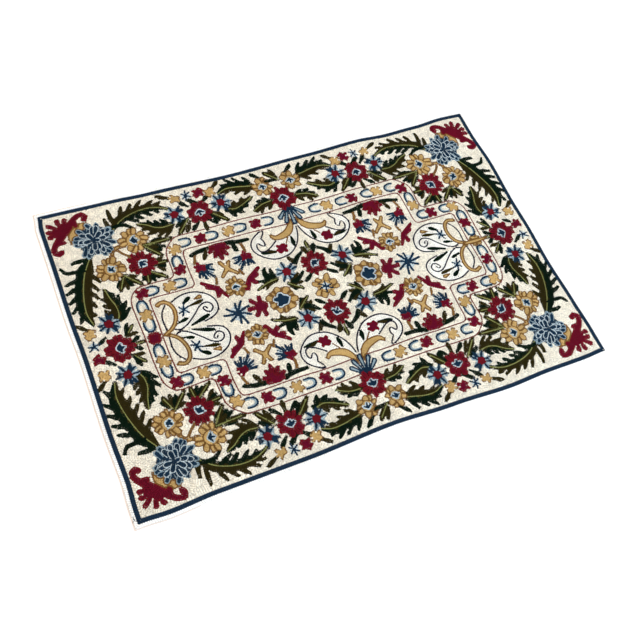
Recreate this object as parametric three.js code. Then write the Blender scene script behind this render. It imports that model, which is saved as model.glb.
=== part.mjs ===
// Crewel embroidery panel: one piece of cotton ground cloth, worked all over in wool chain stitch,
// with its hem turned under along four hand-drawn edges. It lies flat on a surface.
// Frame: millimetres, +X along the long side, +Y across, +Z up, origin at the middle of the underside.
import * as THREE from "three";

// Driving sizes of the cloth.
const LENGTH = 916;
const WIDTH = 610;
const WORKED_THICKNESS = 3.2;
const HEM_THICKNESS = 2.2;
const EDGE_THICKNESS = 1.3;

// Widths measured in from the cloth's edge.
const ROUNDED_EDGE = 1.6;
const HEM_WIDTH = 6.6;
const STEP_WIDTH = 1.6;

// The largest cell of the worked field, and the cockle that hand tension leaves in it.
const FIELD_CELL = 26;
const COCKLE_HEIGHT = 0.45;
const COCKLE_LENGTH_X = 210;
const COCKLE_LENGTH_Y = 165;

// How far the edge draws in from the LENGTH by WIDTH rectangle, smooth between the stations.
// at: place along that side, from the middle, towards +X or +Y.  inset: how far the edge lies inside.
const TOP_EDGE = [
  { at: -440, inset: 1.5 },
  { at: -320, inset: 3.5 },
  { at: -240, inset: 6.5 },
  { at: -80, inset: 10.5 },
  { at: 80, inset: 7 },
  { at: 200, inset: 3 },
  { at: 260, inset: 6.3 },
  { at: 330, inset: 4.6 },
  { at: 400, inset: 0 },
  { at: 450, inset: 1.5 },
];
const BOTTOM_EDGE = [
  { at: -440, inset: 4 },
  { at: -400, inset: 2 },
  { at: -320, inset: 5.5 },
  { at: -160, inset: 5.5 },
  { at: 0, inset: 10.5 },
  { at: 120, inset: 5 },
  { at: 240, inset: 0 },
  { at: 320, inset: 2.5 },
  { at: 400, inset: 1.5 },
  { at: 450, inset: 3.5 },
];
const LEFT_EDGE = [
  { at: -270, inset: 0 },
  { at: -225, inset: 2.1 },
  { at: -140, inset: 0.3 },
  { at: 0, inset: 2.1 },
  { at: 80, inset: 0.6 },
  { at: 200, inset: 2.1 },
  { at: 265, inset: 2.5 },
  { at: 300, inset: 7 },
];
const RIGHT_EDGE = [
  { at: -280, inset: 0.4 },
  { at: -240, inset: 0 },
  { at: -180, inset: 1.9 },
  { at: -90, inset: 4.9 },
  { at: 0, inset: 2.4 },
  { at: 60, inset: 3.2 },
  { at: 160, inset: 0 },
  { at: 245, inset: 4.4 },
  { at: 290, inset: 3.9 },
];

const CLOTH = new THREE.MeshStandardMaterial({ color: 0xe6dcc6, roughness: 0.95, metalness: 0 });

// A soft step that runs from 0 at low to 1 at high.
function softStep(low, high, value) {
  const share = THREE.MathUtils.clamp((value - low) / (high - low), 0, 1);
  return share * share * (3 - 2 * share);
}

// The inset of an edge at a place along it.
function insetAt(edge, at) {
  const after = edge.findIndex((row) => row.at > at);
  if (after === 0) {
    return edge[0].inset;
  }
  if (after < 0) {
    return edge[edge.length - 1].inset;
  }
  const from = edge[after - 1];
  const to = edge[after];
  return THREE.MathUtils.lerp(from.inset, to.inset, softStep(from.at, to.at, at));
}

// The grid lines across one side of the cloth, as distances from its middle.
// They crowd at the edge for the rounded edge, the hem and the step up to the worked field.
function gridLines(side) {
  const half = side / 2;
  const edgeLines = [0, ROUNDED_EDGE, HEM_WIDTH, HEM_WIDTH + STEP_WIDTH].map((inward) => half - inward);
  const field = edgeLines[edgeLines.length - 1];
  const cells = Math.ceil((2 * field) / FIELD_CELL);
  const inner = Array.from({ length: cells - 1 }, (_, i) => -field + ((i + 1) * 2 * field) / cells);
  return [...edgeLines.map((place) => -place), ...inner, ...edgeLines.reverse()];
}

// The thickness at a distance in from the cloth's edge, without the cockle.
function thicknessAt(inward) {
  const edge = THREE.MathUtils.lerp(EDGE_THICKNESS, HEM_THICKNESS, softStep(0, ROUNDED_EDGE, inward));
  const step = softStep(HEM_WIDTH, HEM_WIDTH + STEP_WIDTH, inward);
  return edge + (WORKED_THICKNESS - HEM_THICKNESS) * step;
}

// The cockle of the worked field, from -1 to 1.
function cockleAt(x, y) {
  const long = Math.sin((2 * Math.PI * (x + 0.35 * y)) / COCKLE_LENGTH_X);
  const cross = Math.sin((2 * Math.PI * (y - 0.2 * x)) / COCKLE_LENGTH_Y);
  return long * cross;
}

// The point of the top face for a grid place, drawn in to the uneven edges.
function topPoint(x, y) {
  const right = LENGTH / 2 - insetAt(RIGHT_EDGE, y);
  const left = LENGTH / 2 - insetAt(LEFT_EDGE, y);
  const top = WIDTH / 2 - insetAt(TOP_EDGE, x);
  const bottom = WIDTH / 2 - insetAt(BOTTOM_EDGE, x);
  const inward = Math.min(LENGTH / 2 - Math.abs(x), WIDTH / 2 - Math.abs(y));
  const worked = softStep(HEM_WIDTH, HEM_WIDTH + FIELD_CELL, inward);
  return new THREE.Vector3(
    x * ((x > 0 ? right : left) / (LENGTH / 2)),
    y * ((y > 0 ? top : bottom) / (WIDTH / 2)),
    thicknessAt(inward) + COCKLE_HEIGHT * worked * cockleAt(x, y)
  );
}

// The closed body: the top grid, a wall round its rim, and a flat underside.
function panelGeometry() {
  const xs = gridLines(LENGTH);
  const ys = gridLines(WIDTH);
  const points = [];
  const faces = [];
  for (const y of ys) {
    for (const x of xs) {
      points.push(topPoint(x, y));
    }
  }
  const topIndex = (column, row) => row * xs.length + column;
  for (let row = 0; row < ys.length - 1; row += 1) {
    for (let column = 0; column < xs.length - 1; column += 1) {
      const a = topIndex(column, row);
      const b = topIndex(column + 1, row);
      const c = topIndex(column + 1, row + 1);
      const d = topIndex(column, row + 1);
      faces.push([a, b, c], [a, c, d]);
    }
  }
  const rim = rimIndices(xs.length, ys.length, topIndex);
  const underside = points.length;
  for (const index of rim) {
    points.push(new THREE.Vector3(points[index].x, points[index].y, 0));
  }
  const middle = points.length;
  points.push(new THREE.Vector3(0, 0, 0));
  rim.forEach((index, i) => {
    const next = (i + 1) % rim.length;
    faces.push([index, underside + i, underside + next], [index, underside + next, rim[next]]);
    faces.push([underside + next, underside + i, middle]);
  });
  const geometry = new THREE.BufferGeometry().setFromPoints(points);
  geometry.setIndex(faces.flat());
  geometry.computeVertexNormals();
  return geometry;
}

// The grid points round the rim, anticlockwise as seen from above.
function rimIndices(columns, rows, topIndex) {
  const rim = [];
  for (let column = 0; column < columns - 1; column += 1) {
    rim.push(topIndex(column, 0));
  }
  for (let row = 0; row < rows - 1; row += 1) {
    rim.push(topIndex(columns - 1, row));
  }
  for (let column = columns - 1; column > 0; column -= 1) {
    rim.push(topIndex(column, rows - 1));
  }
  for (let row = rows - 1; row > 0; row -= 1) {
    rim.push(topIndex(0, row));
  }
  return rim;
}

const panel = new THREE.Mesh(panelGeometry(), CLOTH);
panel.name = "panel";

const group = new THREE.Group();
group.add(panel);

export default group;
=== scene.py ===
# Crewel embroidery panel: cotton ground cloth worked all over in wool chain stitch.
# The design is drawn by formula from short tables, as numbered shapes on a grid of small cells.
# The tables' numbers were read off a straightened view of the photograph, with a scale beside it.
# Stitch rows then follow the outline of each shape, ring inside ring, as the embroiderer works them.
# The design is worked out in millimetres in the CAD frame, and the meshes are built in metres.
import math

import bpy
import numpy as np
from mathutils import Matrix, Vector

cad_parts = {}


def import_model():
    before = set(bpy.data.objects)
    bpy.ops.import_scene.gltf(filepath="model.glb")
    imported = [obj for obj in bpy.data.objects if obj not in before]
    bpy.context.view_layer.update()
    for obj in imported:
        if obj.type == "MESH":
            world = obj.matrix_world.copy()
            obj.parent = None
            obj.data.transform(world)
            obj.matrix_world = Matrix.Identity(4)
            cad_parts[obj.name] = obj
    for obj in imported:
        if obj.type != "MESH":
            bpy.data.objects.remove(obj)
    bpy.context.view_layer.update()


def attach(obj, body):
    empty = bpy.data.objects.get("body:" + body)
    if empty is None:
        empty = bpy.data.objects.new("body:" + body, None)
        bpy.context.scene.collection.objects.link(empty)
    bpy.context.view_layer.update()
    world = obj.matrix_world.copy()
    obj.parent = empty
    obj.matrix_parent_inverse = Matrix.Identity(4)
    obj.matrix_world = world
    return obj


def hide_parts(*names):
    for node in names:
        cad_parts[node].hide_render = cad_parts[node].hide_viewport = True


MM = 0.001

# The cloth, in millimetres: its nominal cut, and the widths measured in from its edge.
LENGTH = 916.0
WIDTH = 610.0
BARE_EDGE = 2.4
HEM_WIDTH = 7.4

# The width of a stitch row and the size of the drawing's cells, in millimetres.
ROW = 2.4
CELL = 0.5

# The rows all round the cloth: how wide they are, and how far in each lies and in which wool.
EDGE_ROW = ROW + 0.15
EDGE_ROWS = ((3.7, "bleached"), (6.1, "bleached"), (8.7, "border"), (11.2, "border"), (13.7, "border"))

# The widths of single rows for a loose thread, creases, veins, guard lines and scrolls, in millimetres.
THREAD = 1.3
CREASE = 1.5
VEIN = 1.9
GUARD = 2.1
INK = 2.7

# How far each edge draws in from the nominal rectangle, smooth between the stations along it.
# Each row: place along that side from the middle, and how far the edge lies inside.
TOP_EDGE = (
    (-440, 1.5), (-320, 3.5), (-240, 6.5), (-80, 10.5), (80, 7.0),
    (200, 3.0), (260, 6.3), (330, 4.6), (400, 0.0), (450, 1.5),
)
BOTTOM_EDGE = (
    (-440, 4.0), (-400, 2.0), (-320, 5.5), (-160, 5.5), (0, 10.5),
    (120, 5.0), (240, 0.0), (320, 2.5), (400, 1.5), (450, 3.5),
)
LEFT_EDGE = (
    (-270, 0.0), (-225, 2.1), (-140, 0.3), (0, 2.1),
    (80, 0.6), (200, 2.1), (265, 2.5), (300, 7.0),
)
RIGHT_EDGE = (
    (-280, 0.4), (-240, 0.0), (-180, 1.9), (-90, 4.9), (0, 2.4),
    (60, 3.2), (160, 0.0), (245, 4.4), (290, 3.9),
)

# Wool colours as seen, in sRGB from 0 to 255.
WOOLS = {
    "cream": (239, 231, 213),
    "white": (243, 239, 228),
    "bleached": (252, 250, 244),
    "navy": (24, 48, 68),
    "border": (29, 50, 70),
    "steel": (150, 171, 180),
    "pale": (202, 214, 217),
    "red": (116, 22, 32),
    "crimson": (103, 14, 34),
    "maroon": (62, 8, 20),
    "wine": (108, 15, 42),
    "green": (7, 25, 13),
    "olive": (46, 39, 12),
    "lime": (140, 142, 84),
    "mustard": (199, 165, 105),
    "brown": (126, 90, 48),
    "guard": (116, 50, 42),
    "ink": (28, 24, 42),
}
WOOL_NAMES = list(WOOLS)
SAND = ("brown", "mustard")
DOT = ((0, 0),)

# Numbers of the three plain areas in the drawing.
OUTSIDE = 0
GROUND = 1
HEM = 2


def soft_step(low, high, value):
    """A soft step that runs from 0 at low to 1 at high."""
    share = np.clip((value - low) / (high - low), 0.0, 1.0)
    return share * share * (3.0 - 2.0 * share)


def inset_at(edge, at):
    """How far an edge lies inside the nominal rectangle, at places along it."""
    at = np.asarray(at, float)
    inset = np.full(at.shape, float(edge[0][1]))
    for (start, low), (end, high) in zip(edge, edge[1:]):
        inset += (high - low) * soft_step(start, end, at)
    return inset


def inward_distance(x, y):
    """How far inside the cloth's uneven edge each point lies, in millimetres."""
    right = LENGTH / 2 - inset_at(RIGHT_EDGE, y) - x
    left = LENGTH / 2 - inset_at(LEFT_EDGE, y) + x
    top = WIDTH / 2 - inset_at(TOP_EDGE, x) - y
    bottom = WIDTH / 2 - inset_at(BOTTOM_EDGE, x) + y
    return np.minimum(np.minimum(right, left), np.minimum(top, bottom))


def hand_wander(points):
    """The points moved as a hand-drawn design strays, in slow waves of about a millimetre."""
    x, y = points[:, 0], points[:, 1]
    right = 1.0 * np.sin(x / 37.0 + y / 53.0 + 0.4) + 0.6 * np.sin(y / 17.0 - x / 71.0 + 2.0)
    up = 1.0 * np.sin(y / 41.0 - x / 59.0 + 1.3) + 0.6 * np.sin(x / 19.0 + y / 67.0 + 4.1)
    return points + np.stack([right, up], axis=1)


def smooth_line(points, step=2.0):
    """A smooth curve through a few points, as a row of points about a step apart."""
    knots = np.asarray(points, float)
    if len(knots) < 3:
        return knots
    padded = np.concatenate([2 * knots[:1] - knots[1:2], knots, 2 * knots[-1:] - knots[-2:-1]])
    pieces = []
    for a, b, c, d in zip(padded, padded[1:], padded[2:], padded[3:]):
        count = max(1, int(np.ceil(np.linalg.norm(c[:2] - b[:2]) / step)))
        t = np.arange(count)[:, None] / count
        bend = (2 * a - 5 * b + 4 * c - d) * t**2 + (3 * b - 3 * c + d - a) * t**3
        pieces.append(b + 0.5 * ((c - a) * t + bend))
    return np.concatenate([*pieces, knots[-1:]])


class Drawing:
    """The worked face as a grid of small cells, each with the number of the shape drawn there last."""

    def __init__(self):
        self.xs = np.arange(-LENGTH / 2 - 2, LENGTH / 2 + 2 + CELL / 2, CELL)
        self.ys = np.arange(-WIDTH / 2 - 2, WIDTH / 2 + 2 + CELL / 2, CELL)
        self.edge_wool = [0, 0, 0]
        self.fill_wool = [0, 0, 0]
        self.rim = [0.0, 0.0, 0.0]
        self.lines = []
        inward = inward_distance(self.xs[None, :], self.ys[:, None])
        self.owner = np.full(inward.shape, OUTSIDE, np.int32)
        self.owner[inward > BARE_EDGE] = HEM
        self.owner[inward > HEM_WIDTH] = GROUND
        for inward, wool in EDGE_ROWS:
            self.edge_row(inward, self.new_shape(wool))

    def new_shape(self, edge, fill=None, rim=ROW):
        """A new shape's number: edge wool in its outer row, which is rim wide, and fill wool inside."""
        self.edge_wool.append(WOOL_NAMES.index(edge))
        self.fill_wool.append(WOOL_NAMES.index(fill or edge))
        self.rim.append(rim if fill else 0.0)
        return len(self.edge_wool) - 1

    def edge_row(self, inward, shape):
        """Draws a stitch row all round the cloth, at a distance in from its uneven edge."""
        corners = []
        for side_x, side_y in ((-1, -1), (1, -1), (1, 1), (-1, 1)):
            x, y = side_x * LENGTH / 2, side_y * WIDTH / 2
            for _ in range(4):
                x = side_x * (LENGTH / 2 - inward - inset_at(RIGHT_EDGE if side_x > 0 else LEFT_EDGE, y))
                y = side_y * (WIDTH / 2 - inward - inset_at(TOP_EDGE if side_y > 0 else BOTTOM_EDGE, x))
            corners.append(np.array([x, y], float))
        share = np.linspace(0.0, 1.0, 200)[:, None]
        for i, edge in enumerate((BOTTOM_EDGE, RIGHT_EDGE, TOP_EDGE, LEFT_EDGE)):
            way = corners[i] + (corners[(i + 1) % 4] - corners[i]) * share
            if i % 2:
                way[:, 0] = (2 - i) * (LENGTH / 2 - inward - inset_at(edge, way[:, 1]))
            else:
                way[:, 1] = (i - 1) * (WIDTH / 2 - inward - inset_at(edge, way[:, 0]))
            self.row(way, shape, EDGE_ROW)

    def row(self, way, shape, width):
        """Draws a single stitch row along a line of points."""
        self.bars(way, np.full(len(way), width / 2), shape)
        self.lines.append((way, shape, width))

    def bars(self, way, radii, shape):
        """Draws bars with round ends from point to point, with a radius at each point."""
        for a, b, radius_a, radius_b in zip(way, way[1:], radii, radii[1:]):
            reach = max(radius_a, radius_b)
            low = np.minimum(a, b) - reach
            high = np.maximum(a, b) + reach
            left, right = np.searchsorted(self.xs, (low[0], high[0]))
            bottom, top = np.searchsorted(self.ys, (low[1], high[1]))
            x = self.xs[left:right] - a[0]
            y = self.ys[bottom:top, None] - a[1]
            way = b - a
            span = max(float(way @ way), 1e-9)
            along = np.clip((x * way[0] + y * way[1]) / span, 0.0, 1.0)
            away = (x - along * way[0]) ** 2 + (y - along * way[1]) ** 2
            inside = away < (radius_a + (radius_b - radius_a) * along) ** 2
            self.owner[bottom:top, left:right][inside] = shape


class Pen:
    """Draws in a frame of its own, which can be moved, turned and mirrored on the drawing."""

    def __init__(self, drawing, matrix=np.eye(2), origin=np.zeros(2)):
        self.drawing = drawing
        self.matrix = matrix
        self.origin = origin
        self.shape = drawing.new_shape

    def at(self, x, y, turn=0.0):
        """A pen at a point of this one's frame, turned by an angle in degrees."""
        angle = math.radians(turn)
        spin = np.array([[math.cos(angle), -math.sin(angle)], [math.sin(angle), math.cos(angle)]])
        return Pen(self.drawing, self.matrix @ spin, self.origin + self.matrix @ np.array([x, y]))

    def mirrored(self, flip_x, flip_y):
        """A pen whose frame is mirrored along the axes that have -1."""
        return Pen(self.drawing, self.matrix @ np.diag([flip_x, flip_y]), self.origin)

    def on_cloth(self, points):
        """Where a hand would place points of the pen's frame on the cloth."""
        return hand_wander(points @ self.matrix.T + self.origin)

    def stroke(self, points, radii, shape):
        """Draws a brush stroke along a smooth line, with one radius or one for each of its points."""
        radii = np.broadcast_to(np.asarray(radii, float), (len(points),))
        knots = smooth_line(np.column_stack([np.asarray(points, float), radii]))
        if len(knots) == 1:
            knots = np.repeat(knots, 2, axis=0)
        self.drawing.bars(self.on_cloth(knots[:, :2]), knots[:, 2], shape)

    def brush(self, wools, points, radii, rim=ROW):
        """One brush stroke as a shape of its own, in the wools of its outer row and of its filling."""
        shape = self.shape(*wools, rim=rim)
        self.stroke(points, radii, shape)
        return shape

    def line(self, points, wool, width=ROW):
        """Draws a single stitch row along a smooth line."""
        self.drawing.row(self.on_cloth(smooth_line(points)), self.shape(wool), width)

    def area(self, points, shape):
        """Fills the inside of a closed smooth line."""
        drawing = self.drawing
        way = self.on_cloth(smooth_line((*points, points[0])))
        left, right = np.searchsorted(drawing.xs, (way[:, 0].min(), way[:, 0].max()))
        bottom, top = np.searchsorted(drawing.ys, (way[:, 1].min(), way[:, 1].max()))
        x = drawing.xs[None, left:right]
        y = drawing.ys[bottom:top, None]
        inside = np.zeros((top - bottom, right - left), bool)
        for a, b in zip(way, way[1:]):
            crosses = (a[1] > y) != (b[1] > y)
            slope = (b[0] - a[0]) / (b[1] - a[1] if b[1] != a[1] else 1e-9)
            inside ^= crosses & (x < a[0] + (y - a[1]) * slope)
        drawing.owner[bottom:top, left:right][inside] = shape


def direction(angle, length=1.0):
    """The point at an angle in degrees and a distance."""
    return np.array([math.cos(math.radians(angle)), math.sin(math.radians(angle))]) * length


def uneven_angle(i, count, shift=0.5):
    """The angle of one petal of a ring, in degrees, as unevenly spaced as a hand draws them."""
    return (i + shift + 0.2 * math.sin(2.1 * i + count)) * 360.0 / count - 180.0


def finger(pen, start, end, radius, shape, tip=None):
    """A lobe from one point to another, as wide at its round tip unless told."""
    pen.stroke((start, end), (radius, radius if tip is None else tip), shape)


def petal(pen, start, end, radius, shape, root=0.6, point=0.75):
    """A petal that swells past its middle and narrows again to its tip."""
    start = np.asarray(start, float)
    end = np.asarray(end, float)
    pen.stroke((start, start + 0.6 * (end - start), end), (root * radius, radius, point * radius), shape)


def crown(pen, radius):
    """A flower's middle: three navy lobes that open towards +X on steel blue, ringed with one light row."""
    back = pen.brush(("pale", "steel"), DOT, 0.55 * radius + 2.2, 1.6)
    root = direction(180, 0.35 * radius)
    for shape, spare in ((back, 2.3), (pen.shape("navy"), 0.0)):
        for angle, share in ((0.0, 1.0), (56.0, 0.92), (-56.0, 0.92)):
            tip = root + direction(angle, share * radius)
            pen.stroke((root, tip), (0.36 * radius + spare, 0.2 * radius + spare), shape)


def ring_of_petals(pen, count, start, end, radius, wools, apart=False, rim=ROW, point=0.85):
    """Petals that stand out round a middle, as one shape or each as its own."""
    shape = pen.shape(*wools, rim=rim)
    for i in range(count):
        if apart:
            shape = pen.shape(*wools, rim=rim)
        angle = uneven_angle(i, count)
        long = end * (1.0 + 0.08 * math.sin(2.6 * i + 1.0))
        wide = radius * (1.0 + 0.16 * math.sin(1.7 * i + 0.5))
        petal(pen, direction(angle, start), direction(angle, long), wide, shape, 0.72, point)
    return shape


def red_flower(pen, radius=27.0, petals=11):
    """A full red flower with a darker inside and a navy crown in its middle."""
    tip = 2.15 * radius / petals
    shape = ring_of_petals(pen, petals, 0.4 * radius, radius - tip, tip, ("red", "crimson"), point=0.8)
    pen.stroke(DOT, 0.72 * radius, shape)
    for i in range(petals):
        angle = uneven_angle(i, petals, 0.0)
        pen.line((direction(angle, 0.5 * radius), direction(angle + 2.0, 0.8 * radius)), "maroon", CREASE)
    crown(pen, 0.33 * radius)


def sand_flower(pen, radius=25.0, petals=10, middle=0.34, fat=1.15):
    """A mustard flower whose petals are each edged with a brown row, with a navy middle."""
    tip = fat * 2.15 * radius / petals
    pen.brush(("mustard",), DOT, 0.6 * radius)
    ring_of_petals(pen, petals, 0.34 * radius, radius - 0.9 * tip, tip, SAND, True, 1.6, 0.9)
    pen.brush(("mustard",), DOT, 0.44 * radius)
    crown(pen, middle * radius)


def scalloped_flower(pen, radius=29.0):
    """A wide mustard ring with a wavy brown edge and short brown rays, round a large navy middle."""
    wavy = ring_of_petals(pen, 10, 0.4 * radius, 0.76 * radius, 0.26 * radius, SAND, rim=1.8)
    pen.stroke(DOT, 0.84 * radius, wavy)
    for i in range(10):
        angle = (i + 0.2 * math.sin(2.1 * i)) * 36.0
        pen.line((direction(angle, 0.62 * radius), direction(angle + 4.0, 0.88 * radius)), "brown", 1.8)
    lobes = ((20, 11.0, 4.2), (90, 9.5, 4.4), (-50, 10.5, 4.4), (180, 7.0, 6.2), (-125, 6.0, 6.0))
    for shape, spare in ((pen.shape("pale"), 2.4), (pen.shape("navy"), 0.0)):
        for angle, length, wide in lobes:
            pen.stroke(((-1, 0), direction(angle, length)), (5.4 + spare, wide + spare), shape)


def spoke_flower(pen, radius=21.0, spokes=8, thick=2.1):
    """Pointed navy spokes on a light blue scalloped ground, round a red middle."""
    ground = ring_of_petals(pen, spokes, 0.0, 0.9 * radius - 4.6, 5.0, ("steel", "pale"), rim=1.3)
    pen.stroke(DOT, 0.58 * radius, ground)
    for i in range(spokes):
        angle = uneven_angle(i, spokes)
        spoke = pen.shape("navy")
        root = direction(angle, 0.3 * radius)
        wide = thick * (1.0 + 0.3 * math.sin(1.3 * i))
        petal(pen, root, direction(angle, 0.98 * radius), wide, spoke, 0.8, 0.6)
        if thick > 2.0 and i % 3 == 0:
            fork = direction(angle + 23.0, 0.85 * radius)
            petal(pen, direction(angle, 0.5 * radius), fork, 0.75 * wide, spoke, 0.9, 0.7)
    middle = pen.brush(("red",), DOT, 0.33 * radius)
    for angle in (20, 95, 165, 230, 310):
        finger(pen, (0, 0), direction(angle, 0.3 * radius), 2.6, middle, 2.3)


def small_flower(pen, radius=12.0, petals=6, wools=("red", "wine"), rim=ROW):
    """A small flower of round petals in one shape."""
    tip = 0.31 * radius
    shape = ring_of_petals(pen, petals, 0.0, radius - tip, tip, wools, rim=rim)
    pen.stroke(DOT, 0.5 * radius, shape)


def sand_rosette(pen, radius=12.5, petals=6):
    """A small mustard flower edged in brown."""
    small_flower(pen, radius, petals, SAND, 1.4)


def blue_star(pen, radius=11.0, spokes=6, thick=2.9):
    """Thin navy spokes, each a single row, over a small pale ground."""
    pen.brush(("pale",), DOT, 0.6 * radius)
    for i in range(spokes):
        angle = (i + 0.5 + 0.2 * math.sin(2.3 * i)) * 360.0 / spokes - 180.0
        long = radius * (1.0 + 0.14 * math.sin(1.9 * i))
        pen.line(((0, 0), direction(angle, 0.5 * long), direction(angle + 5.0, long)), "navy", thick)


def pompon_flower(pen, radius=37.0):
    """The large corner flower: rings of navy petals, each edged in steel blue, with a mustard cup."""
    arc = [direction(angle, radius + 1.0) for angle in (-36, -18, 0, 18, 36)]
    pen.brush(SAND, arc, (4.0, 8.6, 10.0, 8.6, 4.0))
    pen.brush(("navy",), DOT, 0.8 * radius)
    rings = ((17, 0.6, 0.92, 3.9), (11, 0.38, 0.7, 4.2), (6, 0.16, 0.45, 4.4), (1, 0.03, 0.16, 4.0))
    for count, start, end, half in rings:
        for i in range(count):
            angle = (i + 0.37 * count + 0.22 * math.sin(2.7 * i)) * 360.0 / count
            lean = 13.0 * math.sin(1.9 * i + count)
            root = direction(angle, start * radius)
            tip = direction(angle + lean, (end + 0.05 * math.sin(3.1 * i)) * radius)
            shape = pen.shape("navy")
            petal(pen, root, tip, half, shape, 0.8, 0.9)
            along = (tip - root) / np.linalg.norm(tip - root)
            side = half * np.array([-along[1], along[0]])
            edge = (root + 0.8 * side, tip + side, tip + 0.95 * half * along, tip - side, root - 0.8 * side)
            pen.line(edge, "steel" if start > 0.5 else "pale", 1.4)


def leaf(pen, spine, left, right, body):
    """A toothed leaf along a curved vein: the tips of its teeth on either side, and a green for each half."""
    line = smooth_line(spine, 1.0)
    steps = np.concatenate([[0.0], np.cumsum(np.linalg.norm(np.diff(line, axis=0), axis=1))])
    share = np.linspace(0.0, 1.0, len(line))
    fade = np.minimum(1.0, 4.0 * np.minimum(share + 0.06, 1.08 - share))
    for tips, wool in ((left, "green"), (right, "olive")):
        shape = pen.shape(wool)
        tips = np.array(tips, float)
        nearest = np.array([np.linalg.norm(line - tip, axis=1).argmin() for tip in tips])
        out = tips - line[nearest]
        far = np.linalg.norm(out, axis=1)
        order = np.argsort(nearest)
        far_along = np.interp(np.arange(len(line)), nearest[order], far[order])
        push = [np.interp(np.arange(len(line)), nearest[order], out[order, k]) for k in (0, 1)]
        push = np.stack(push, axis=1)
        push /= np.maximum(np.linalg.norm(push, axis=1), 0.1)[:, None]
        half = body * np.minimum(far_along, 22.0) * fade
        pen.stroke((line + push * half[:, None])[::3], (half + 0.6)[::3], shape)
        for tip, near, reach in zip(tips, nearest, far):
            back = min(0.8 * reach + 2.0, 16.0)
            root = line[np.abs(steps - max(steps[near] - back, 1.0)).argmin()]
            bend = 0.5 * (root + tip) + 0.12 * (tip - line[near])
            radii = (4.1, 4.3, 2.9) if reach > 23.0 else (4.8, 4.4, 2.6)
            pen.stroke((root, bend, tip), radii, shape)
    pen.line(spine, "lime", VEIN)


def lobe(pen, start, end, radius=3.4, wool="green", vein=False):
    """A single small leaf, narrow where it starts and widest past its middle."""
    start = np.asarray(start, float)
    end = np.asarray(end, float)
    shape = pen.shape(wool)
    way = (start, start + 0.35 * (end - start), start + 0.7 * (end - start), end)
    pen.stroke(way, (0.5 * radius, 0.85 * radius, 1.2 * radius, 0.75 * radius), shape)
    if vein:
        pen.line((start, start + 0.92 * (end - start)), "lime", VEIN)


def sprig(pen, root, tips):
    """Small leaves that fan out from one root. Each row: tip x, tip y, radius, wool, and True for a vein."""
    for x, y, *looks in tips:
        lobe(pen, root, (x, y), *looks)


def palmette(pen):
    """The corner ornament: five fingers towards the corner and two arms that curl back."""
    shape = pen.brush(("red", "crimson"), ((-4, -26), (-1, 0), (-4, 26)), (5.6, 9.6, 5.6))
    for angle, length in ((-60, 25), (-33, 24), (-4, 28), (32, 26), (63, 25)):
        finger(pen, (0, 0), direction(angle, length), 3.4, shape, 4.6)
    arm = ((-3, 20), (-3, 31), (-5.5, 40), (-11, 46), (-17.5, 45), (-19, 39.5))
    for side in (-1, 1):
        pen.stroke([(x, side * y) for x, y in arm], (6.4, 5.6, 5.2, 5.0, 5.0, 5.6), shape)
        finger(pen, (-4, side * 28), (-12.5, side * 20), 4.4, shape)


def horseshoe(pen):
    """The border link: a round end towards +X and two arms, a navy row outside and a steel one inside."""
    link = ((-11, 8.4), (-3, 8.8), (5, 7.4), (9.4, 3.4), (9.4, -3.4), (5, -7.4), (-3, -8.8), (-11, -8.4))
    pen.line([(0.78 * x - 1.4, 0.74 * y) for x, y in link], "steel", 2.1)
    pen.line(link, "navy", 3.5)


def guard_lines(pen):
    """The two thin lines round the inner border, in one quarter of the cloth."""
    for points in (
        (
            (0, 182), (60, 182), (130, 183), (190, 183), (214, 183), (226, 182),
            (237, 175), (248, 164), (253, 153), (254, 142),
        ),
        ((254, 142), (254, 114), (256, 106), (263, 103), (275, 103)),
        (
            (275, 103), (300, 103), (318, 102), (329, 97), (337, 86),
            (340, 74), (340.5, 60), (340.5, 30), (340, 0),
        ),
        ((0, 149), (80, 150), (190, 151), (214, 151), (221, 148), (224, 140)),
        ((224, 140), (225, 110), (225, 88), (226, 79), (231, 75), (242, 74.5)),
        ((242, 74.5), (270, 74), (300, 74), (307, 72.5), (309.5, 67), (310, 50)),
        ((310, 50), (310, 25), (310, 0)),
    ):
        pen.line(points, "guard", GUARD)


def inner_border(pen, swapped):
    """The links and rosettes between the guard lines, in one quarter of the cloth."""
    for x, y, turn in (
        (49, 166, 180), (104, 166, 180), (159, 166, 180), (211, 166, 180), (240, 134, 90),
        (247, 89, 180), (298, 88.5, 180), (325, 65, 90), (325, 23, -90),
    ):
        horseshoe(pen.at(x, y, turn))
    red = ((75.5, 166), (183, 166), (240.5, 114), (318, 88), (325, 0))
    sand = ((129, 166), (235.5, 157), (269, 88), (325, 45.5))
    for x, y in sand if swapped else red:
        small_flower(pen.at(x, y, 17), 13.0, 6)
    for x, y in red if swapped else sand:
        sand_rosette(pen.at(x, y, 17), 13.5)


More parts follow.
